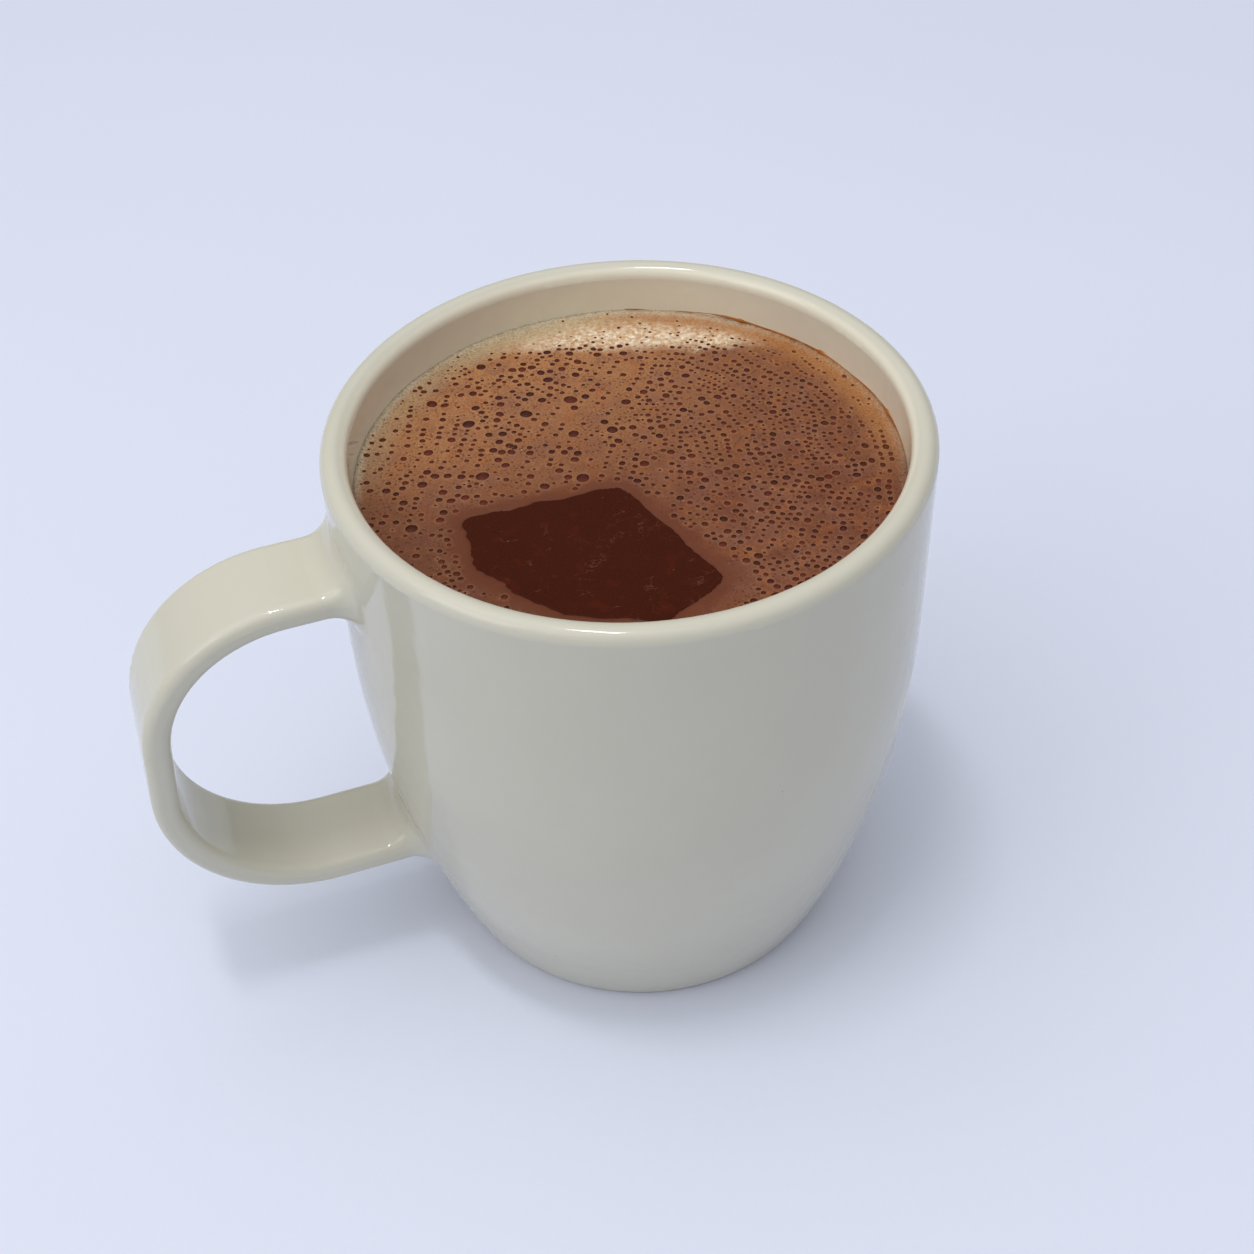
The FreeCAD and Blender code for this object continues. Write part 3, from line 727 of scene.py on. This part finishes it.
def bubbly_froth():
    """Froth of milk and cocoa: tan where it is thick, redder and darker where it thins, cream
    where it climbs the wall; the hollows of its bubbles are dark and wet, painted lighter on
    their near side, and the raised rims of the bubbles are painted paler as a highlight."""
    p = Paint("bubbly_froth", IOR=1.35, Specular_IOR_Level=0.4)
    x, y = p.axes()[:2]
    across = x * float(ACROSS[0]) + y * float(ACROSS[1])
    back = x * float(BACK[0]) + y * float(BACK[1])
    wall = INNER - (x * x + y * y).root()
    hollow = p.attribute("hollow")
    rim = p.attribute("rim")
    # each hollow's random tone, with painted light that lightens its near side
    depth = p.attribute("tone")
    drift = (p.noise(13.0, 4.0, 0.55) - 0.5) * 2.0
    curl = (p.noise(3.2, 4.0, 0.6) - 0.5) * 2.0
    # light towards the back and the left, dark and red towards the front and the right
    light = p.step(back * 0.9 - across * 0.45 + drift * 9.0, -18.0, 40.0)
    body = p.blend(light, tone(108, 58, 38), tone(178, 124, 79))
    dusk = p.step(across + back * 0.25 + drift * 6.0, 6.0, 26.0)
    body = p.blend(dusk * 0.6, body, tone(106, 56, 34))
    body = p.blend(p.step(curl, -0.5, 0.7) * 0.3, body, tone(174, 118, 72))
    body = p.blend(p.step(p.noise(5.0, 3.0), 0.45, 0.65) * 0.45, body, tone(131, 86, 68))
    body = p.blend(p.step(p.noise(3.4, 3.0), 0.50, 0.68) * 0.35, body, tone(163, 94, 43))
    low = p.step(back + drift * 3.0, 6.0, -14.0) * p.step(across, 14.0, -6.0)
    body = p.blend(low * 0.5, body, tone(92, 48, 30))
    # the pale sandy band at the back
    band = p.step(back + curl * 1.6 + drift * 1.5, 27.5, 31.0) * p.step(across, 25.0, 16.0)
    band = band * p.step(across, -24.0, -8.0)
    grit = p.noise(0.6, 3.0, 0.6)
    sand = p.blend(p.step(grit, 0.35, 0.65), tone(208, 166, 122), tone(255, 240, 212))
    body = p.blend(band * 0.95, body, sand)
    # cream and tan where the froth thins against the wall
    behind = p.step(back, -8.0, 10.0)
    thin = p.step(wall + curl * 1.2 + drift * 1.0, 6.0, 1.4) * behind
    thin = thin * (1 - 0.45 * p.step(across, -20.0, -32.0))
    left = p.step(across, 6.0, -12.0)
    edge = p.blend(left, tone(176, 120, 70), tone(196, 176, 138))
    body = p.blend(thin * 0.85, body, edge)
    rind = p.step(wall + curl * 0.5 + drift * 0.4, 1.7, 0.1) * p.step(back, -12.0, 4.0)
    rind = rind * (1 - 0.7 * p.step(across, 8.0, 26.0))
    body = p.blend(rind * 0.85, body, tone(206, 192, 164))
    # a bare brown margin round the opening
    shore = p.attribute("shore")
    margin = p.step(shore + curl * 0.5 + drift * 0.5, 4.2, 0.8)
    body = p.blend(margin * 0.80, body, tone(100, 48, 24))
    brink = p.step(shore + curl * 0.12, 0.9, 0.0)
    body = p.blend(brink * 0.75, body, tone(72, 29, 12))
    # the finest bubbles, too small to be hollows of the mesh
    grain = p.step(p.noise(0.30, 2.0), 0.36, 0.64)
    body = p.blend(grain * 0.34, body, tone(92, 48, 28))
    clear = (1 - hollow) * (1 - margin * 0.85) * (1 - rim * 0.7) * (1 - thin * 0.75)
    pore = p.cells(0.62, randomness=0.85)
    crowd = p.step(p.noise(2.6, 2.0), 0.36, 0.52)
    pores = p.step(pore, 0.36, 0.22) * crowd * (1 - band * 0.6) * clear
    speck = p.cells(0.36, randomness=0.9)
    specks = p.step(speck, 0.42, 0.22) * p.step(p.noise(1.7, 2.0), 0.36, 0.54) * clear
    body = p.blend(pores * 0.70, body, tone(76, 30, 8))
    body = p.blend(specks * 0.42, body, tone(88, 42, 20))
    bead = p.step(p.cells(0.45, feature="SMOOTH_F1"), 0.18, 0.05) * p.step(p.noise(1.3, 1.0), 0.55, 0.65)
    body = p.blend(bead * 0.45 * clear, body, tone(232, 200, 160))
    # painted highlight: the raised rim of each bubble is painted paler
    body = p.blend(rim * 0.25, body, tone(196, 146, 102))
    # the hollows: dark brown to red-brown by the tone attribute, whose near-side lightening is painted
    # light
    pit = p.blend(depth, tone(44, 8, 0), tone(104, 36, 10))
    pit = p.blend(thin * 0.4, pit, tone(125, 67, 31))
    colour = p.blend(p.step(hollow, 0.15, 0.75), body, pit)
    gloss = 0.5 - hollow * 0.38
    relief = p.noise(0.5, 3.0, 0.6) * 0.5 + (1 - pores) * 0.3 + (1 - specks) * 0.15
    relief = relief * (1 - hollow)
    p.set(Base_Color=colour, Roughness=gloss)
    p.set(Normal=p.bump(relief, 0.10, 0.7))
    return p.material


def tabletop():
    """A pale, faintly blue sheet of paper."""
    p = Paint("pale_paper", Roughness=0.75, Specular_IOR_Level=0.2)
    cloud = p.noise(160.0, 3.0, 0.5)
    fine = p.noise(1.1, 2.0, 0.5)
    colour = p.blend(cloud, tone(218, 224, 242), tone(223, 228, 244))
    colour = p.blend(fine * 0.15, colour, tone(210, 215, 230))
    p.set(Base_Color=colour, Normal=p.bump(fine, 0.03, 0.5))
    return p.material


# ------------------------------------------------------------------ the pieces


def tide_line():
    """The brown line that the drink left on the wall: a low ridge that follows the inner wall,
    thin, broken in places and swollen into drops in others.  Across its width it is a half
    round; its width along the wall comes from waves."""
    start, end = math.radians(-20), math.radians(74)
    along = np.linspace(start, end, 420)
    turn = np.linspace(0, np.pi, 7)
    arc = along * INNER
    blob = np.clip(waves(arc, 0 * arc, 4.5, 61, 9) - 0.9, 0, None)
    ends = smooth(0, 0.12, along - start) * smooth(0, 0.12, end - along)
    half = (0.15 + 0.07 * np.clip(waves(arc, 0 * arc, 9.0, 62), -1, 1) + 0.34 * blob) * ends + 0.004
    proud = half * 0.75
    height = LEVEL + 0.50 + 0.14 * waves(arc, 0 * arc, 17.0, 63)
    z = height[:, None] + half[:, None] * np.cos(turn)[None, :]
    r = INNER + 0.03 - proud[:, None] * np.sin(turn)[None, :]
    points = np.stack([r * np.cos(along)[:, None], r * np.sin(along)[:, None], z], -1)
    rows, cols = z.shape
    grid = np.arange(rows * cols).reshape(rows, cols)
    piece = add_mesh("tide_line", points.reshape(-1, 3), quads_of(grid))
    p = Paint("dried_cocoa", IOR=1.4, Roughness=0.3)
    stain = p.noise(1.8, 3.0)
    p.set(Base_Color=p.blend(stain, tone(142, 74, 16), tone(190, 120, 48)))
    piece.data.materials.append(p.material)
    return piece


froth = make_froth()
froth.data.materials.append(bubbly_froth())
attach(froth, "root")
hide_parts("foam")

tide = tide_line()
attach(tide, "root")

chocolate = make_chocolate()
chocolate.data.materials.append(dark_chocolate())
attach(chocolate, "root")
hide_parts("drink")

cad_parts["mug"].material_slots[0].material = glazed_stoneware()

# ------------------------------------------------------------------ table, lights, camera


def table():
    """A flat sheet, far larger than the view."""
    reach = 1800.0
    lines = 5
    line = np.linspace(-reach, reach, lines)
    gx, gy = np.meshgrid(line, line)
    points = np.column_stack([gx.ravel(), gy.ravel(), np.full(gx.size, -0.02)])
    return add_mesh("tabletop", points, quads_of(np.arange(lines * lines).reshape(lines, lines)))


sheet = table()
sheet.data.materials.append(tabletop())


DAYLIGHT = (1.0, 0.99, 0.97)
WHITE = (1.0, 1.0, 1.0)
AIM = Vector((0.0, 0.0, 50.0)) * MM


def soft_light(name, across, back, up, width, height, power, colour):
    """A rectangular light at a place given in millimetres along ACROSS, BACK and up, turned
    to the middle of the mug; power is in watts."""
    lamp = bpy.data.lights.new(name, "AREA")
    lamp.shape = "RECTANGLE"
    lamp.size = width * MM
    lamp.size_y = height * MM
    lamp.energy = power
    lamp.color = colour
    spot = bpy.data.objects.new(name, lamp)
    bpy.context.scene.collection.objects.link(spot)
    flat = across * ACROSS + back * BACK
    where = Vector((flat[0], flat[1], up)) * MM
    spot.location = where
    spot.rotation_euler = (AIM - where).to_track_quat("-Z", "Y").to_euler()


# a large window, a lower one to its left for the handle, and the pane that glints on the lip
soft_light("window", -320.0, -170.0, 1000.0, 960.0, 960.0, 1.85, DAYLIGHT)
soft_light("low_window", -760.0, -420.0, 700.0, 560.0, 460.0, 1.15, DAYLIGHT)
soft_light("bright_pane", -120.0, -100.0, 1100.0, 230.0, 70.0, 1.9, WHITE)


def light_room():
    """The room's light: an even glow, brightest overhead, and a little more from the left."""
    world = bpy.data.worlds.new("room")
    bpy.context.scene.world = world
    world.use_nodes = True
    p = Nodes(world.node_tree, "Generated")
    x, y, up = p.split()
    across = x * float(ACROSS[0]) + y * float(ACROSS[1])
    back = x * float(BACK[0]) + y * float(BACK[1])
    overhead = p.step(up, 0.35, 1.0)
    side = p.step(0.3 * up - 0.9 * across - 0.2 * back, 0.0, 1.0)
    front = p.step(0.5 * up - back, 0.2, 1.0)
    strength = 0.26 + overhead * 0.68 + side * 0.20 + front * 0.04
    background = world.node_tree.nodes["Background"]
    background.inputs["Color"].default_value = (0.97, 0.98, 1.0, 1.0)
    p.tree.links.new(strength.socket, background.inputs["Strength"])


light_room()


def make_camera():
    """A camera in front of the mug and above it, turned down to look into it."""
    reach = 198.3
    above = 239.4
    heading = TURN + math.radians(0.364)
    down = math.radians(43.61)
    roll = math.radians(-2.302)
    place = Vector((-reach * BACK[0], -reach * BACK[1], above))
    level = math.cos(down)
    ahead = Vector((math.cos(heading) * level, math.sin(heading) * level, -math.sin(down)))
    right = Vector((math.sin(heading), -math.cos(heading), 0.0))
    up = right.cross(ahead)
    side = right * math.cos(roll) + up * math.sin(roll)
    top = up * math.cos(roll) - right * math.sin(roll)
    lens = bpy.data.cameras.new("camera")
    lens.sensor_width = 36.0
    lens.lens = 51.68
    lens.clip_start = 0.01
    lens.clip_end = 20.0
    view = bpy.data.objects.new("camera", lens)
    bpy.context.scene.collection.objects.link(view)
    turn = Matrix((side, top, -ahead)).transposed().to_4x4()
    view.matrix_world = Matrix.Translation(place * MM) @ turn
    bpy.context.scene.camera = view


make_camera()
bpy.context.scene.view_settings.view_transform = "Standard"
